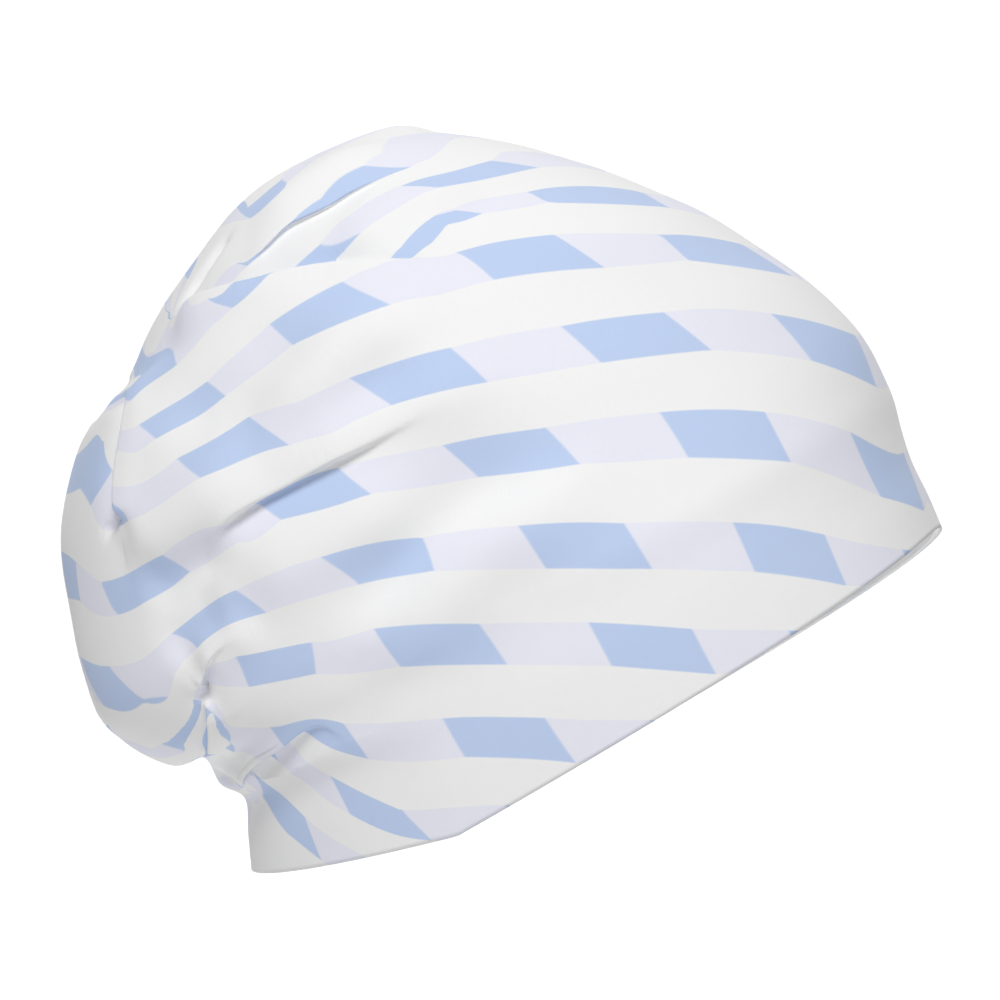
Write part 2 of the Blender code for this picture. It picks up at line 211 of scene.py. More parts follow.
# Each fold is laid along a line on the cloth. Lines of "seen" folds are pixels of the picture, those of
# "left" and "back" folds are shares as in the CAD: from slouch to brow, or from the wearer's left to
# right, and from the nape's hem up to the peak.
# name: where seen, height, spread above the line (or on its brow side) and below it, both in mm, line
softFolds = {
    "creaseRidge": ("seen", 3.0, (12, 8), ((262, 474), (320, 446), (400, 410), (470, 384), (540, 352))),
    "middleRidge": ("seen", 3.2, (10, 9),
                    ((234, 610), (264, 582), (304, 560), (350, 535), (385, 510), (408, 488),
                     (440, 468))),
    "middleGroove": ("seen", -3.6, (10, 8),
                     ((332, 645), (366, 612), (400, 578), (430, 545), (456, 518), (492, 492), (535, 472),
                      (600, 440))),
    "longRidge": ("seen", 4.8, (9, 14),
                  ((340, 682), (376, 650), (415, 614), (450, 580), (482, 546), (520, 520), (562, 498),
                   (640, 455))),
    "longHollow": ("seen", -1.6, (14, 15), ((380, 712), (430, 672), (480, 630), (540, 582), (620, 535))),
    "heelRidge": ("seen", 1.8, (7, 6), ((196, 674), (212, 656), (236, 637), (270, 622))),
    "heelGroove": ("seen", -2.4, (7, 7), ((165, 665), (188, 634), (208, 608), (226, 586))),
    "backRidge": ("seen", 3.6, (10, 10), ((120, 560), (150, 540), (190, 510), (235, 470), (270, 440))),
    "backGroove": ("seen", -3.0, (6, 6), ((140, 598), (175, 578), (205, 560), (238, 532))),
    "highRidge": ("seen", 4.4, (12, 10),
                  ((244, 442), (282, 408), (318, 378), (360, 350), (402, 324), (470, 300))),
    "highGroove": ("seen", -3.4, (9, 9),
                   ((150, 446), (200, 408), (240, 384), (274, 360), (312, 334), (345, 318))),
    "lowHighGroove": ("seen", -3.2, (9, 9),
                      ((258, 448), (298, 428), (340, 406), (375, 380), (405, 352), (440, 326))),
    "upperRidge": ("seen", 2.6, (8, 9), ((165, 348), (200, 323), (240, 305), (300, 290), (360, 277))),
    "crownRidge": ("seen", 2.4, (8, 7), ((322, 262), (358, 238), (394, 214), (440, 200), (500, 198))),
    "topRidge": ("seen", 2.0, (8, 8), ((240, 245), (262, 225), (300, 190), (345, 160), (385, 138))),
    "stripGroove": ("seen", -1.8, (1.8, 1.8),
                    ((236, 228), (222, 244), (206, 266), (192, 286), (178, 311))),
    "tuckEnd": ("seen", -1.6, (1.6, 1.6), ((118, 512), (114, 524), (100, 535))),
    "tuckTop": ("seen", -3.0, (5, 5), ((128, 376), (116, 388), (102, 402), (88, 420))),
    "pinchHollow": ("seen", -2.6, (2.2, 2.2), ((200, 682), (202, 692), (204, 706))),
    "lobeUnder": ("seen", -2.0, (2.2, 2.2), ((214, 775), (228, 782), (244, 787))),
    "longRidgeLeft": ("left", 5.0, (14, 14),
                      ((0.28, 0.28), (0.36, 0.33), (0.45, 0.41), (0.54, 0.49), (0.66, 0.58))),
    "middleGrooveLeft": ("left", -4.0, (11, 11),
                         ((0.25, 0.33), (0.33, 0.40), (0.42, 0.48), (0.53, 0.56))),
    "highRidgeLeft": ("left", 4.5, (13, 13), ((0.22, 0.58), (0.31, 0.66), (0.40, 0.73), (0.52, 0.79))),
    "topGrooveLeft": ("left", -5.0, (10, 10), ((0.24, 0.80), (0.31, 0.86), (0.39, 0.90), (0.48, 0.93))),
    "slouchSwag": ("back", 1.8, (17, 17),
                   ((0.08, 0.50), (0.25, 0.42), (0.45, 0.39), (0.65, 0.43), (0.85, 0.52))),
    "slouchHollow": ("back", -2.0, (14, 14), ((0.10, 0.36), (0.30, 0.29), (0.50, 0.27), (0.72, 0.31))),
    "leftPleat": ("back", -5.5, (8, 8), ((0.34, 0.13), (0.31, 0.21), (0.24, 0.31))),
    "middlePleat": ("back", -4.5, (8, 8), ((0.50, 0.13), (0.50, 0.19), (0.47, 0.26))),
    "rightPleat": ("back", -5.0, (8, 8), ((0.66, 0.13), (0.69, 0.20), (0.76, 0.29))),
    "leftPeakPleat": ("back", -4.5, (9, 9), ((0.45, 0.97), (0.40, 0.87), (0.34, 0.74))),
    "rightPeakPleat": ("back", -3.5, (8, 8), ((0.57, 0.96), (0.62, 0.87), (0.66, 0.77))),
}

# In a lap one side of the cloth lies over the other in an S, and its line is the edge of the side on top.
# name: where seen, 1 where the side above the line (or on its brow side) is on top and -1 where it is
# beneath, height, overhang, half width of the S, spread above and below, all in mm, shares of the line
# over which it grows and dies out, line
laps = {
    "deepCrease": ("seen", 1, 1.5, 1.3, 1.8, (12, 7), (0.24, 0.50),
                   ((205, 555), (225, 530), (248, 509), (290, 486), (330, 465), (372, 446),
                    (412, 425), (450, 404))),
    "backTuck": ("seen", 1, 2.1, 1.9, 1.5, (8, 6), (0.15, 0.12),
                 ((134, 384), (130, 405), (124, 438), (119, 468), (118, 492), (120, 510), (122, 524))),
    "crownLap": ("seen", -1, 2.1, 1.7, 1.4, (7, 9), (0.15, 0.35),
                 ((172, 317), (192, 306), (225, 294), (262, 285), (290, 277), (320, 270),
                  (345, 266), (370, 263), (397, 259), (425, 256), (450, 252))),
    "topFold": ("seen", 1, 0.9, 1.1, 1.4, (6, 14), (0.20, 0.45),
                ((238, 272), (262, 252), (288, 229), (308, 218), (330, 207), (355, 192),
                 (395, 174), (425, 166))),
    "napeCrease": ("seen", 1, 1.5, 1.7, 1.5, (5, 5), (0.15, 0.60),
                   ((245, 789), (247, 776), (262, 760), (280, 750), (302, 735), (315, 729), (327, 731),
                    (342, 742), (358, 757))),
    "pinchRise": ("seen", 1, 1.6, 1.3, 1.7, (5, 5), (0.20, 0.70),
                  ((201, 704), (202, 688), (206, 673), (213, 660), (226, 646), (246, 635))),
    "lobeCrease": ("seen", -1, 0.9, 0.7, 1.3, (3.5, 3.5), (0.20, 0.20),
                   ((206, 757), (208, 736), (206, 712), (203, 692))),
    "deepCreaseLeft": ("left", 1, 3.0, 2.6, 3.0, (14, 11), (0.25, 0.45),
                       ((0.22, 0.36), (0.27, 0.44), (0.34, 0.50), (0.42, 0.55), (0.50, 0.61))),
    "crownLapLeft": ("left", -1, 2.4, 2.2, 2.8, (11, 12), (0.25, 0.40),
                     ((0.20, 0.72), (0.27, 0.77), (0.35, 0.81), (0.44, 0.85))),
    "napeCreaseLeft": ("left", 1, 2.4, 2.0, 2.6, (9, 9), (0.20, 0.35),
                       ((0.24, 0.12), (0.30, 0.16), (0.36, 0.21), (0.43, 0.22))),
    "napeGatherLeft": ("left", 1, 2.4, 1.6, 2.6, (8, 8), (0.20, 0.45),
                       ((0.19, 0.15), (0.23, 0.22), (0.27, 0.28), (0.34, 0.34))),
}
# a valley of the smooth form that the real cloth doesn't have
filledValley = ((240, 747), (262, 739), (285, 727), (310, 712), (340, 698), (375, 683))
# laps with so much cloth hidden in them that the print jumps from one side to the other
hidingLaps = ("backTuck", "crownLap", "topFold", "napeCrease")
folding = {
    "perSpan": 6,                       # short runs between two places of a line
    "shortest": 1e-6,                   # m, shorter runs are left out
    "reach": 3.0,                       # how far a fold is felt, in its spreads
    "bend": 0.4 * mm,                   # how much a line's bends are rounded
    "softEnds": (0.3, 0.4),             # shares of a soft fold over which it grows and dies out
    "steepness": 1.6,                   # of a lap's rise
}


def lineOnCloth(cloth, where, points):
    rows = np.array(points, float)
    rows = np.vstack([rows, 2 * rows[-1] - rows[-2]])
    steps = np.linspace(0, len(points) - 1, folding["perSpan"] * (len(points) - 1) + 1)
    browY = -form["openingLength"] / 2 * math.cos(form["tilt"])
    napeZ = -form["openingLength"] / 2 * math.sin(form["tilt"])
    laid, tops = [], []
    for a, b in curveThrough(rows, steps):
        if where == "seen":
            start, ray = pixelRay(a, b)
        elif where == "back":
            start = np.array([form["crownWidth"] * (0.5 - a), 1.0, napeZ + b * (form["crownRise"] - napeZ)])
            ray = np.array([0.0, -1.0, 0.0])
        else:
            start = np.array([1.0, form["slouchReach"] + a * (browY - form["slouchReach"]),
                              napeZ + b * (form["crownRise"] - napeZ)])
            ray = np.array([-1.0, 0.0, 0.0])
        hit, top = cloth.ray_cast(Vector(start), Vector(ray))[:2]
        if hit is None:                 # a line that runs just past the outline stays on its edge
            hit, top = cloth.find_nearest(Vector(start + ray * abs(start @ ray)))[:2]
        laid.append(hit)
        tops.append(top)
    return np.array(laid), np.array(tops)


def nearLine(points, laid, tops, where, reach):
    # indices of the points near the line, and their distance across it, share along it and way across
    low, high = laid.min(0) - reach, laid.max(0) + reach
    close = np.where(((points > low) & (points < high)).all(1))[0]
    runs = np.diff(laid, axis=0)
    lengths = np.linalg.norm(runs, axis=1)
    keep = lengths > folding["shortest"]
    starts, runs, lengths, tops = laid[:-1][keep], runs[keep], lengths[keep], tops[:-1][keep]
    walked = np.concatenate([[0], np.cumsum(lengths)])
    ways = np.cross(tops, runs / lengths[:, None])
    if where == "left":
        ways = -ways
    across, along, way = np.empty(len(close)), np.empty(len(close)), np.empty((len(close), 3))
    for at in range(0, len(close), atOnce):
        some = points[close[at:at + atOnce]]
        share = np.clip(((some[:, None] - starts) * runs).sum(2) / lengths ** 2, 0, 1)
        offset = some[:, None] - (starts + share[:, :, None] * runs)
        distance = np.linalg.norm(offset, axis=2)
        nearest = distance.argmin(1)
        every = np.arange(len(some))
        side = np.sign((offset[every, nearest] * ways[nearest]).sum(1))
        across[at:at + atOnce] = distance[every, nearest] * np.where(side == 0, 1, side)
        # near parts of the line count for most, so that nothing jumps inside its bends
        weight = lengths / (distance ** 2 + folding["bend"] ** 2) ** 3
        weight /= weight.sum(1, keepdims=True)
        along[at:at + atOnce] = (weight * (walked[:-1] + share * lengths)).sum(1) / walked[-1]
        way[at:at + atOnce] = weight @ ways
    return close, across, along, way / np.linalg.norm(way, axis=1, keepdims=True)


def fade(along, start, end):
    return np.sin(np.clip(along / start, 0, 1) * np.clip((1 - along) / end, 0, 1) * math.pi / 2) ** 2


def clothTree(mesh, points):
    return BVHTree.FromPolygons([tuple(p) for p in points], [tuple(p.vertices) for p in mesh.polygons])


def fillValley(hat):
    # like a smoothing brush drawn along the valley
    mesh = hat.data
    points = readPoints(mesh, "co")
    laid, tops = lineOnCloth(clothTree(mesh, points), "seen", filledValley)
    close, across = nearLine(points, laid, tops, "seen", shell["valleyWidth"])[:2]
    chosen = np.zeros(len(points), bool)
    chosen[close[np.abs(across) < shell["valleyWidth"]]] = True
    bpy.ops.object.mode_set(mode="EDIT")
    bpy.ops.mesh.select_mode(type="VERT")
    bpy.ops.mesh.select_all(action="DESELECT")
    bpy.ops.object.mode_set(mode="OBJECT")
    mesh.vertices.foreach_set("select", chosen)
    bpy.ops.object.mode_set(mode="EDIT")
    bpy.ops.mesh.vertices_smooth(factor=0.5, repeat=shell["valleySmooths"])
    bpy.ops.object.mode_set(mode="OBJECT")


def refineAlongLaps(hat):
    mesh = hat.data
    cloth = clothTree(mesh, readPoints(mesh, "co"))
    lines = [(row[0], *lineOnCloth(cloth, row[0], row[-1])) for row in laps.values()]
    for within in shell["finerWithin"]:
        centres = np.empty(len(mesh.polygons) * 3)
        mesh.polygons.foreach_get("center", centres)
        centres = centres.reshape(-1, 3)
        chosen = np.zeros(len(centres), bool)
        for where, laid, tops in lines:
            close, across = nearLine(centres, laid, tops, where, within)[:2]
            chosen[close[np.abs(across) < within]] = True
        bpy.ops.object.mode_set(mode="EDIT")
        bpy.ops.mesh.select_mode(type="FACE")
        bpy.ops.mesh.select_all(action="DESELECT")
        bpy.ops.object.mode_set(mode="OBJECT")
        mesh.polygons.foreach_set("select", chosen)
        bpy.ops.object.mode_set(mode="EDIT")
        bpy.ops.mesh.subdivide(number_cuts=1)
        bpy.ops.object.mode_set(mode="OBJECT")


def lapEdge(row):
    # from the middle of a lap's S to the edge of the side on top, in mm
    overhang, half = row[3], row[4]
    s = np.linspace(0, 2, 401)
    return -(s * half - overhang * s * np.exp((1 - s ** 2) / 2)).min()


def foldCloth(hat):
    mesh = hat.data
    smooth, normals = readPoints(mesh, "co"), readPoints(mesh, "normal")
    cloth = clothTree(mesh, smooth)
    lift = np.zeros(len(smooth))
    slide = np.zeros_like(smooth)
    for where, height, spread, line in softFolds.values():
        laid, tops = lineOnCloth(cloth, where, line)
        close, across, along = nearLine(smooth, laid, tops, where, folding["reach"] * max(spread) * mm)[:3]
        width = np.where(across > 0, spread[0], spread[1]) * mm
        lift[close] += height * mm * np.exp(-(across / width) ** 2) * fade(along, *folding["softEnds"])
    for row in laps.values():
        where, over, height, overhang, half, spread, ends, line = row
        laid, tops = lineOnCloth(cloth, where, line)
        close, across, along, way = nearLine(smooth, laid, tops, where, folding["reach"] * max(spread) * mm)
        s = (across / mm - over * lapEdge(row)) / half
        shown = fade(along, *ends)
        width = np.where(across > 0, spread[0], spread[1]) * mm
        rise = np.tanh(folding["steepness"] * s) * np.exp(-(across / width) ** 2)
        lift[close] += over * height * mm * rise * shown
        slide[close] -= way * (overhang * mm * s * np.exp((1 - s ** 2) / 2) * shown)[:, None]
    back = np.exp(-(smooth[:, 0] / shell["seamWidth"]) ** 2) * (smooth[:, 1] > form["peakBack"])
    lift -= shell["seamDepth"] * back   # the centre seam down the back
    folded = smooth + normals * lift[:, None] + slide
    mesh.vertices.foreach_set("co", folded.ravel())
    mesh.update()
    return folded


# print

# The print's blocks as they are seen, band by band from the top: band and stripe number, then the
# pixels of the block's upper left, upper right, lower right and lower left corners. A corner that a
# fold or the outline hides is left out.
blocks = (
    (-1, 0, (243, 214), (282, 180), (287, 187), (250, 218)),
    (0, 0, None, (364, 166), (410, 167), None),
    (1, 0, (402, 186), (492, 161), (538, 168), (438, 188)),
    (1, -1, None, (320, 245), (361, 232), None),
    (2, 0, (530, 192), (645, 193), (666, 207), (545, 203)),
    (2, -1, None, (456, 209), (482, 213), None),
    (2, -2, (208, 298), None, None, (232, 308)),
    (2, -3, None, (154, 354), (176, 366), None),
    (3, 0, (662, 236), None, (793, 277), (686, 259)),
    (3, -1, (457, 252), (555, 234), (604, 268), (494, 281)),
    (3, -2, (270, 323), (343, 282), (390, 305), (292, 345)),
    (3, -3, (135, 427), (208, 382), (225, 396), (156, 438)),
    (4, 0, (771, 314), (857, 337), (876, 388), (811, 361)),
    (4, -1, (561, 327), (664, 313), (711, 350), (601, 362)),
    (4, -2, (349, 378), (452, 348), (488, 380), (391, 405)),
    (4, -3, (177, 459), (248, 416), (288, 445), (199, 478)),
    (4, -4, None, None, (128, 521), None),
    (4, -5, None, (112, 470), (91, 505), None),
    (5, 0, (851, 432), (903, 452), (924, 513), (882, 497)),
    (5, -1, (660, 413), (766, 411), (789, 461), (688, 459)),
    (5, -2, (443, 446), (546, 428), (581, 465), (478, 478)),
    (5, -3, None, None, (370, 496), (281, 519)),
    (5, -4, (100, 582), (164, 556), (189, 573), (115, 614)),
    (5, -5, None, (76, 562), (80, 600), None),
    (6, -1, (733, 522), (825, 534), (848, 587), (755, 572)),
    (6, -2, (519, 525), (624, 523), (651, 569), (546, 568)),
    (6, -3, (320, 557), (424, 538), (434, 570), (360, 585)),
    (6, -4, (171, 632), (236, 591), (266, 613), (197, 649)),
    (6, -5, None, (109, 667), (142, 700), None),
    (7, -2, (589, 623), (691, 628), (717, 674), (612, 666)),
    (7, -3, (372, 629), (479, 624), (506, 665), (401, 667)),
    (7, -4, (237, 656), (314, 642), (316, 674), (248, 687)),
    (7, -5, (162, 744), None, None, (184, 746)),
    (8, -3, (444, 719), (545, 718), (576, 764), (465, 757)),
    (8, -4, (269, 727), (344, 724), (368, 759), None),
    (8, -5, None, (223, 727), (233, 757), None),
    (9, -4, (331, 777), (402, 811), (432, 841), (350, 814)),
    (10, -5, (253, 771), (304, 816), (321, 860), (260, 796)),
)
# Between the blocks: a band number, and a place where the print has it. A band's upper edge is its
# number less 0.22, its lower edge 0.22 more.
bandPlaces = (
    # the peak and the far strip
    (-0.22, (388, 138)), (-0.22, (384, 153)), (0.22, (445, 147)), (0.22, (430, 159)), (0.22, (462, 137)),
    (-0.22, (322, 199)), (-0.22, (298, 215)), (-0.42, (293, 183)), (-0.36, (318, 167)), (-0.36, (345, 149)),
    (-0.36, (234, 226)), (-0.32, (221, 243)), (-0.32, (208, 262)), (-0.42, (242, 238)), (-0.42, (222, 262)),
    (-0.4, (202, 284)), (-0.42, (192, 276)), (-0.45, (186, 287)), (-0.45, (182, 295)), (-0.5, (178, 303)),
    (-0.5, (175, 311)), (-0.36, (262, 242)),
    # the folds of the crown
    (1.5, (164, 327)), (0.5, (336, 214)), (0.5, (296, 240)), (0.5, (266, 262)), (0.78, (500, 152)),
    (0.74, (292, 266)), (0.78, (340, 221)), (1.22, (336, 258)), (0.78, (366, 203)), (1.22, (396, 209)),
    (1.78, (500, 196)), (2.22, (502, 211)), (1.78, (402, 247)), (1.78, (434, 217)), (2.22, (446, 223)),
    (2.22, (432, 243)), (1.62, (150, 342)), (1.62, (168, 322)), (1.78, (180, 317)), (2.22, (212, 326)),
    (1.78, (224, 293)), (2.22, (249, 294)), (2.3, (262, 288)), (2.45, (286, 282)), (2.6, (316, 273)),
    (2.7, (345, 267)), (2.22, (133, 398)), (2.78, (420, 258)), (2.78, (374, 268)), (3.22, (440, 296)),
    # the tuck behind the head
    (3.22, (136, 453)), (3.26, (119, 405)), (3.35, (114, 413)), (3.45, (106, 422)), (2.1, (134, 383)),
    (2.0, (137, 373)), (1.9, (146, 362)), (1.5, (162, 310)), (1.55, (167, 316)), (3.84, (97, 436)),
    (3.66, (107, 433)), (3.6, (112, 445)), (3.7, (113, 458)), (3.78, (105, 442)), (3.92, (93, 446)),
    (4.0, (84, 465)), (4.22, (80, 486)), (4.22, (104, 533)),
    # over the ear and down to the nape
    (3.78, (300, 402)), (4.22, (330, 434)), (4.78, (240, 524)), (5.22, (238, 540)), (6.78, (330, 642)),
    (8.78, (308, 763)), (9.1, (286, 757)), (9.35, (268, 765)), (9.22, (322, 796)), (9.22, (292, 774)),
    (9.78, (276, 791)), (10.22, (288, 834)), (10.3, (251, 800)), (10.4, (257, 815)), (10.6, (254, 835)),
    (10.6, (256, 866)), (10.65, (262, 862)), (10.62, (292, 862)),
    # to both sides of the pinch
    (6.6, (130, 735)), (6.66, (150, 746)), (6.6, (189, 697)), (6.78, (170, 741)), (6.78, (175, 737)),
    (6.78, (180, 732)), (6.78, (185, 726)), (6.78, (189, 720)), (6.78, (192, 714)), (6.78, (195, 707)),
    (7.22, (182, 743)), (7.22, (187, 738)), (7.22, (191, 732)), (7.22, (195, 725)), (7.22, (198, 719)),
    (7.22, (200, 713)), (7.45, (196, 748)), (7.78, (214, 702)), (7.78, (219, 711)), (7.78, (222, 720)),
    (8.38, (212, 714)), (8.46, (212, 722)), (8.5, (213, 730)), (8.5, (214, 738)), (8.45, (217, 746)),
    (8.0, (219, 718)), (8.0, (224, 734)), (8.05, (230, 748)), (8.5, (213, 753)), (8.5, (219, 754)),
    (8.5, (214, 758)), (8.5, (221, 758)), (8.4, (227, 759)), (7.5, (203, 752)), (7.5, (197, 756)),
    (8.5, (222, 766)), (8.55, (234, 782)), (8.6, (240, 771)), (8.62, (243, 783)),
)
# The same for the stripes, whose edges are 0.245 to each side of their number
stripePlaces = (
    # the crown
    (0.05, (352, 178)), (-0.1, (320, 205)), (-0.2, (296, 221)), (-3.0, (150, 370)), (-3.1, (139, 388)),
    (-3.1, (135, 380)), (-3.1, (138, 372)), (-4.5, (119, 403)), (-1.55, (228, 275)), (-1.6, (170, 305)),
    # the tuck behind the head
    (-3.5, (123, 445)), (-3.45, (126, 420)), (-3.5, (119, 435)), (-3.5, (117, 455)), (-3.55, (122, 490)),
    (-3.6, (117, 476)), (-3.68, (118, 495)), (-3.45, (140, 472)), (-3.755, (119, 508)), (-4.85, (104, 444)),
    (-4.78, (111, 464)), (-5.0, (90, 462)), (-4.755, (102, 487)),
    # the pinch and the nape
    (-5.0, (194, 722)), (-5.1, (180, 740)), (-5.0, (216, 728)), (-4.9, (224, 745)), (-4.755, (229, 742)),
    (-5.42, (250, 785)), (-5.4, (250, 798)), (-5.45, (250, 815)),
)
# Where nothing shows, the bands go on round the back: band, stripe, then the place's distance back from
# the opening's middle and its height over it in mm, on the centre seam
hiddenPrint = (
    (-1.3, 0.6, 62, 141), (-1.6, -0.5, 92, 121), (-0.6, -1.8, 115, 101), (2.4, -4.4, 127, 86),
    (3.8, -5.5, 134, 63), (5.0, -5.7, 136, 30), (6.0, -5.6, 131, 2), (7.1, -5.7, 114, -14),
    (9.4, -5.7, 90, -28), (11.0, -5.4, 88, -44),
)
printSize = {
    "bandHalf": 0.2216, "blockHalf": 0.245,    # of the bands' and the stripes' spacing
    "stripe": 54.0, "band": 24.7, "lean": 17.6,    # mm from one to the next, and stripes' lean per band
    "smoothing": 0.0005,                # how far the fields may pass a spot by
    "jumpStep": 0.0005,                 # m along a hiding lap
    "jumpParts": 4, "jumpWeight": 0.3,
    "middleSteps": 200,                 # places read along the front's middle line
}


def printJumps(lines, points):
    # For each hiding lap a few functions that jump by 2 from one side of it to the other, each over one
    # part of its length and none at its last end, and are smooth everywhere else
    jumps = []
    for row, laid, tops in lines:
        runs = np.diff(laid, axis=0)
        lengths = np.linalg.norm(runs, axis=1)
        keep = lengths > folding["shortest"]
        runs, lengths = runs[keep], lengths[keep]
        ways = np.cross(tops[:-1][keep], runs / lengths[:, None])
        starts = laid[:-1][keep] + ways * row[1] * lapEdge(row) * mm
        walked = np.concatenate([[0], np.cumsum(lengths)])
        steps = (np.arange(int(walked[-1] / printSize["jumpStep"])) + 0.5) * printSize["jumpStep"]
        part = np.clip(np.searchsorted(walked, steps) - 1, 0, len(lengths) - 1)
        spots = starts[part] + runs[part] * ((steps - walked[part]) / lengths[part])[:, None]
        along = steps / walked[-1]
        count = printSize["jumpParts"]
        shares = np.clip(1 - np.abs(along[:, None] * count - np.arange(count)), 0, 1)
        out = np.empty((len(points), count))
        for at in range(0, len(points), atOnce):
            offset = points[at:at + atOnce, None] - spots
            near = (offset ** 2).sum(2) + printSize["jumpStep"] ** 2
            angles = (offset * ways[part]).sum(2) / near * printSize["jumpStep"]
            out[at:at + atOnce] = angles @ shares / math.pi
        jumps.append(out)
    return np.hstack(jumps) * math.sqrt(printSize["jumpWeight"])


def smoothField(spots, values, lines):
    # one smooth field through all the spots' values: a sum of distances to them, plus a plane, plus the
    # jumps at the laps
    spots, values = np.array(spots), np.array(values)
    between = np.linalg.norm(spots[:, None] - spots[None], axis=2)
    jumps = printJumps(lines, spots)
    plane = np.hstack([np.ones((len(spots), 1)), spots])
    system = np.block([[np.eye(len(spots)) * printSize["smoothing"] - between + jumps @ jumps.T, plane],
                       [plane.T, np.zeros((4, 4))]])
    solved = np.linalg.solve(system, np.concatenate([values, np.zeros(4)]))
    sizes = jumps.T @ solved[:-4]

    def field(points):
        out = printJumps(lines, points) @ sizes
        for at in range(0, len(points), atOnce):
            some = points[at:at + atOnce]
            away = np.linalg.norm(some[:, None] - spots[None], axis=2)
            out[at:at + atOnce] += solved[-4] + some @ solved[-3:] - away @ solved[:-4]
        return out

    left = np.abs(field(spots) - values)
    print("field through", len(spots), "spots, left over", left.mean().round(3),
          "at most", left.max().round(2))
    return field


def printFields(hat, folded, smooth):
    mesh = hat.data
    cloth = clothTree(mesh, folded)
    smoothCloth = clothTree(mesh, smooth)
    lines = [(laps[name], *lineOnCloth(smoothCloth, "seen", laps[name][-1])) for name in hidingLaps]
    bandSpots, bands, stripeSpots, stripes = [], [], [], []

    def clothAt(pixel):                 # the place on the smooth cloth of what the picture shows there
        start, ray = pixelRay(*pixel)
        hit, top, index = cloth.ray_cast(Vector(start), Vector(ray))[:3]
        if hit is None:
            print("off the hat", pixel)
            return None
        corners = list(mesh.polygons[index].vertices)
        weight = 1 / (np.linalg.norm(folded[corners] - np.array(hit), axis=1) + 1e-6) ** 2
        return (smooth[corners] * weight[:, None]).sum(0) / weight.sum()

    across, down = printSize["blockHalf"], printSize["bandHalf"]
    ways = ((-across, -down), (across, -down), (across, down), (-across, down))
    for band, stripe, *corners in blocks:
        for corner, (aside, below) in zip(corners, ways):
            spot = clothAt(corner) if corner else None
            if spot is not None:
                bandSpots.append(spot)
                bands.append(band + below)
                stripeSpots.append(spot)
                stripes.append(stripe + aside)
    for band, pixel in bandPlaces:
        spot = clothAt(pixel)
        if spot is not None:
            bandSpots.append(spot)
            bands.append(band)
    for stripe, pixel in stripePlaces:
        spot = clothAt(pixel)
        if spot is not None:
            stripeSpots.append(spot)
            stripes.append(stripe)
    for band, stripe, back, rise in hiddenPrint:
        spot = np.array([0.0, back * mm, rise * mm])
        bandSpots.append(spot)
        bands.append(band)
        stripeSpots.append(spot)
        stripes.append(stripe)
    return smoothField(stripeSpots, stripes, lines), smoothField(bandSpots, bands, lines)


def layPrint(hat, folded, smooth):
    mesh = hat.data
    stripeField, bandField = printFields(hat, folded, smooth)
    mirrored = np.stack([-np.abs(smooth[:, 0]), smooth[:, 1], smooth[:, 2]], 1)
    stripes, bands = stripeField(mirrored), bandField(mirrored)
    # On the far side the stripes go on past the front's middle line, turned with the cloth
    count = printSize["middleSteps"]
    middle = formPoints(np.linspace(0, 1, count), np.zeros(count))
    middleBands, middleStripes = bandField(middle), stripeField(middle)
    order = np.argsort(middleBands)
    crossed = np.interp(bands, middleBands[order], middleStripes[order])
    slope = printSize["lean"] / printSize["stripe"]
    crossed -= np.clip(bands - middleBands.max(), 0, None) * slope
    farStripes = 2 * crossed - stripes
    loops = np.empty(len(mesh.loops), int)
    mesh.loops.foreach_get("vertex_index", loops)
    totals = np.empty(len(mesh.polygons), int)
    mesh.polygons.foreach_get("loop_total", totals)
    starts = np.concatenate([[0], np.cumsum(totals)[:-1]])
    isRight = np.repeat(np.add.reduceat(smooth[loops, 0], starts) < 0, totals)
    layer = mesh.uv_layers.new(name="print")
    pattern = np.stack([np.where(isRight, stripes[loops], farStripes[loops]), bands[loops]], 1)
    layer.data.foreach_set("uv", pattern.ravel())
    mesh.uv_layers.active = layer


# materials

def toLinear(hexColour):
    channels = [int(hexColour[i:i + 2], 16) / 255 for i in (1, 3, 5)]
    return tuple(c / 12.92 if c <= 0.04045 else ((c + 0.055) / 1.055) ** 2.4 for c in channels) + (1.0,)


def addNode(tree, kind, settings=None, values=None, links=None):
    node = tree.nodes.new(kind)
    for name, value in (settings or {}).items():
        setattr(node, name, value)
    for name, value in (values or {}).items():
        node.inputs[name].default_value = value
    for name, socket in (links or {}).items():
        tree.links.new(socket, node.inputs[name])
    return node


def newMaterial(name):
    material = bpy.data.materials.new(name)
    material.use_nodes = True
    material.node_tree.nodes.clear()
    return material, material.node_tree


# White cotton jersey, printed: matt and soft, with fine ribs of stitches that only just catch the light
jersey = {
    "white": "#F5F5F5", "lavender": "#ECEDF8", "blue": "#C1D3F3",
    "edge": 0.010,                      # softness of the print's edges, in bands
    "wale": 1.0,                        # mm between ribs, drawn coarser than the real 0.6 to show
    "course": 0.8,                      # mm between rows of stitches
    "stitchHeight": 0.00005, "stitchStrength": 0.25,
    "ribSharpness": 3.0, "rowHeight": 0.3, "rowLean": 0.5,
    "roughness": 0.92, "specular": 0.25, "sheen": 0.12, "sheenRoughness": 0.5,
    "showsThrough": 0.15,               # of the print, on the wrong side of the cloth
    "wholeBands": 100.0, "wholeRibs": 1000.0,       # added to keep what is reckoned above nought
}


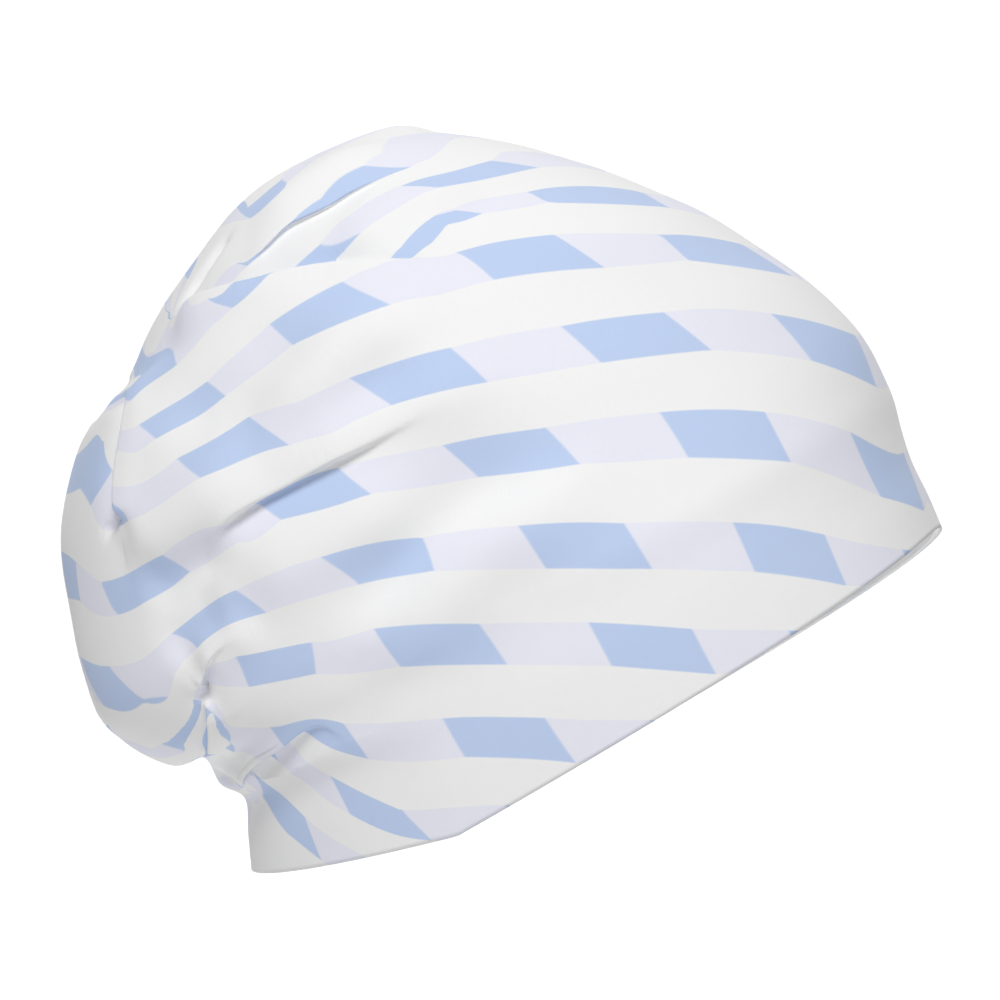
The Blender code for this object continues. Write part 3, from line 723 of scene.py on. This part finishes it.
def jerseyMaterial(name, shows):
    material, tree = newMaterial(name)
    uv = addNode(tree, "ShaderNodeUVMap", {"uv_map": "print"})
    parts = addNode(tree, "ShaderNodeSeparateXYZ", links={"Vector": uv.outputs["UV"]})
    stripe, band = parts.outputs["X"], parts.outputs["Y"]

    def reckon(operation, first, second=None):
        node = addNode(tree, "ShaderNodeMath", {"operation": operation})
        for index, given in enumerate((first, second)):
            if isinstance(given, (int, float)):
                node.inputs[index].default_value = given
            elif given is not None:
                tree.links.new(given, node.inputs[index])
        return node.outputs[0]

    def nearWhole(socket, half):        # 1 within half of a whole number, with a soft edge
        place = reckon("FRACT", reckon("ADD", socket, jersey["wholeBands"] + 0.5))
        away = reckon("ABSOLUTE", reckon("SUBTRACT", place, 0.5))
        return addNode(tree, "ShaderNodeMapRange", {"interpolation_type": "SMOOTHSTEP"},
                       {"From Min": half + jersey["edge"], "From Max": half - jersey["edge"]},
                       {"Value": away}).outputs[0]

    ink = addNode(tree, "ShaderNodeMix", {"data_type": "RGBA"},
                  {"A": toLinear(jersey["lavender"]), "B": toLinear(jersey["blue"])},
                  {"Factor": nearWhole(stripe, printSize["blockHalf"])})
    strength = reckon("MULTIPLY", nearWhole(band, printSize["bandHalf"]), shows)
    cloth = addNode(tree, "ShaderNodeMix", {"data_type": "RGBA"},
                    {"A": toLinear(jersey["white"])}, {"Factor": strength, "B": ink.outputs["Result"]})
    # the stitches run square to the print: ribs down the cloth, rows across it in small vees
    sideways = reckon("ADD", reckon("MULTIPLY", stripe, printSize["stripe"]),
                      reckon("MULTIPLY", band, printSize["lean"]))
    sideways = reckon("ADD", sideways, jersey["wholeRibs"])
    ribPlace = reckon("FRACT", reckon("DIVIDE", sideways, jersey["wale"]))
    vee = reckon("MULTIPLY", reckon("ABSOLUTE", reckon("SUBTRACT", ribPlace, 0.5)), 2.0)
    rows = reckon("DIVIDE", reckon("MULTIPLY", band, printSize["band"]), jersey["course"])
    leaning = reckon("ADD", rows, reckon("MULTIPLY", vee, jersey["rowLean"]))
    rowWave = reckon("SINE", reckon("MULTIPLY", leaning, 2 * math.pi))
    ribs = reckon("POWER", vee, jersey["ribSharpness"])
    height = reckon("SUBTRACT", reckon("MULTIPLY", rowWave, jersey["rowHeight"]), ribs)
    bump = addNode(tree, "ShaderNodeBump", None,
                   {"Strength": jersey["stitchStrength"], "Distance": jersey["stitchHeight"]},
                   {"Height": height})
    shader = addNode(tree, "ShaderNodeBsdfPrincipled", None,
                     {"Roughness": jersey["roughness"], "Specular IOR Level": jersey["specular"],
                      "Sheen Weight": jersey["sheen"], "Sheen Roughness": jersey["sheenRoughness"]},
                     {"Base Color": cloth.outputs["Result"], "Normal": bump.outputs["Normal"]})
    addNode(tree, "ShaderNodeOutputMaterial", links={"Surface": shader.outputs["BSDF"]})
    return material


def giveThickness(hat):
    mesh = hat.data
    mesh.materials.append(jerseyMaterial("printedCottonJersey", 1.0))
    mesh.materials.append(jerseyMaterial("jerseyReverse", jersey["showsThrough"]))
    hem = hat.vertex_groups.new(name="hem")
    climb = np.empty(len(mesh.vertices))
    mesh.attributes["climb"].data.foreach_get("value", climb)
    weight = np.clip((shell["hemWidth"] - climb * shell["wayUp"]) / shell["hemFade"], 0, 1)
    for index in np.where(weight > 0)[0]:
        hem.add([int(index)], float(weight[index]), "REPLACE")
    wall = hat.modifiers.new("wall", "SOLIDIFY")
    wall.thickness = shell["hem"]
    wall.vertex_group = hem.name
    wall.thickness_vertex_group = shell["cloth"] / shell["hem"]
    wall.offset = -1.0
    wall.material_offset = 1
    wall.material_offset_rim = 1
    bpy.ops.object.select_all(action="DESELECT")
    hat.select_set(True)
    bpy.context.view_layer.objects.active = hat
    bpy.ops.object.modifier_apply(modifier=wall.name)
    # the inside needs fewer faces
    inside = hat.vertex_groups.new(name="inside")
    hidden = np.ones(len(mesh.vertices), bool)
    for face in mesh.polygons:
        if face.material_index == 0:
            hidden[list(face.vertices)] = False
    inside.add([int(i) for i in np.where(hidden)[0]], 1.0, "REPLACE")
    thin = hat.modifiers.new("fewerInside", "DECIMATE")
    thin.ratio = (1 + shell["insideShare"]) / 2
    thin.vertex_group = inside.name
    bpy.ops.object.modifier_apply(modifier=thin.name)
    print("hat has", sum(len(face.vertices) - 2 for face in mesh.polygons), "triangles")


hat = makeShell()
fillValley(hat)
refineAlongLaps(hat)
print("shell modelled,", len(hat.data.polygons), "faces")
smooth = readPoints(hat.data, "co")
folded = foldCloth(hat)
print("folds laid")
layPrint(hat, folded, smooth)
giveThickness(hat)
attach(hat, "root")
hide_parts("crown")

# studio

studio = {
    "floorAt": -0.30, "floorWide": 6.0, "floorFront": 1.5, "floorBack": 2.2,
    "sweepRadius": 0.8, "sweepRows": 120, "wallHigh": 3.0,
    "paper": "#F8F8F8", "paperRoughness": 0.95, "sky": 0.19,
    "key": ((-0.66, -0.12, 0.75), 2.2, 0.8, 36.0),      # way from the aim, distance, size, watts
    "aim": (0.0, 0.025, 0.05),                  # about the middle of the hat
    "backdrop": (1.3, 1.6, 1.4, 36.0),          # way back, height, size, watts
    "backdropAim": (1.4, -0.2),                 # how much further back, and height
}


def makeStage():
    right = cameraAxes()[0]
    level = math.atan2(right[1], right[0])
    bpy.ops.object.select_all(action="DESELECT")
    bpy.ops.mesh.primitive_grid_add(x_subdivisions=2, y_subdivisions=studio["sweepRows"], size=1.0)
    sweep = bpy.context.object
    sweep.name = "paperSweep"
    front, back, radius = studio["floorFront"], studio["floorBack"], studio["sweepRadius"]
    curl = radius * math.pi / 2
    length = front + back + curl + studio["wallHigh"]
    for vertex in sweep.data.vertices:
        walked = (vertex.co.y + 0.5) * length - front
        turn = min(max(walked - back, 0.0) / radius, math.pi / 2)
        rise = radius * (1 - math.cos(turn)) + max(walked - back - curl, 0.0)
        reach = min(walked, back) + radius * math.sin(turn)
        side = vertex.co.x * studio["floorWide"]
        vertex.co = (side * math.cos(level) - reach * math.sin(level),
                     side * math.sin(level) + reach * math.cos(level), studio["floorAt"] + rise)
    bpy.ops.object.shade_smooth()
    # matt white background paper, in one sheet from the floor up the wall
    material, tree = newMaterial("backgroundPaper")
    shader = addNode(tree, "ShaderNodeBsdfPrincipled", None,
                     {"Base Color": toLinear(studio["paper"]), "Roughness": studio["paperRoughness"]})
    addNode(tree, "ShaderNodeOutputMaterial", links={"Surface": shader.outputs["BSDF"]})
    sweep.data.materials.append(material)


def addLamp(name, spot, aim, size, watts):
    bpy.ops.object.light_add(type="AREA", location=spot)
    lamp = bpy.context.object
    lamp.name = name
    lamp.data.shape = "DISK"
    lamp.data.size = size
    lamp.data.energy = watts
    lamp.rotation_euler = (Vector(aim) - Vector(spot)).to_track_quat("-Z", "Y").to_euler()


def makeLights():
    aim = np.array(studio["aim"])
    way, distance, size, watts = studio["key"]
    addLamp("key", aim + np.array(way) / np.linalg.norm(way) * distance, aim, size, watts)
    right = cameraAxes()[0]
    level = np.array([-right[1], right[0], 0.0])
    back, height, size, watts = studio["backdrop"]
    further, aimHeight = studio["backdropAim"]
    spot = level * back + np.array([0, 0, height])
    addLamp("backdrop", spot, level * (back + further) + np.array([0, 0, aimHeight]), size, watts)
    world = bpy.data.worlds.new("studioSky")
    world.use_nodes = True
    world.node_tree.nodes["Background"].inputs["Color"].default_value = (1, 1, 1, 1)
    world.node_tree.nodes["Background"].inputs["Strength"].default_value = studio["sky"]
    bpy.context.scene.world = world


def makeCamera():
    ahead, eye = cameraAxes()[2:]
    bpy.ops.object.camera_add(location=eye, rotation=Vector(ahead).to_track_quat("-Z", "Y").to_euler())
    camera = bpy.context.object
    camera.data.sensor_width = view["sensor"]
    camera.data.lens = view["sensor"] * view["distance"] / (view["metresPerPixel"] * view["picture"])
    bpy.context.scene.camera = camera
    bpy.context.scene.view_settings.view_transform = "Standard"


makeStage()
makeLights()
makeCamera()
print("studio set")
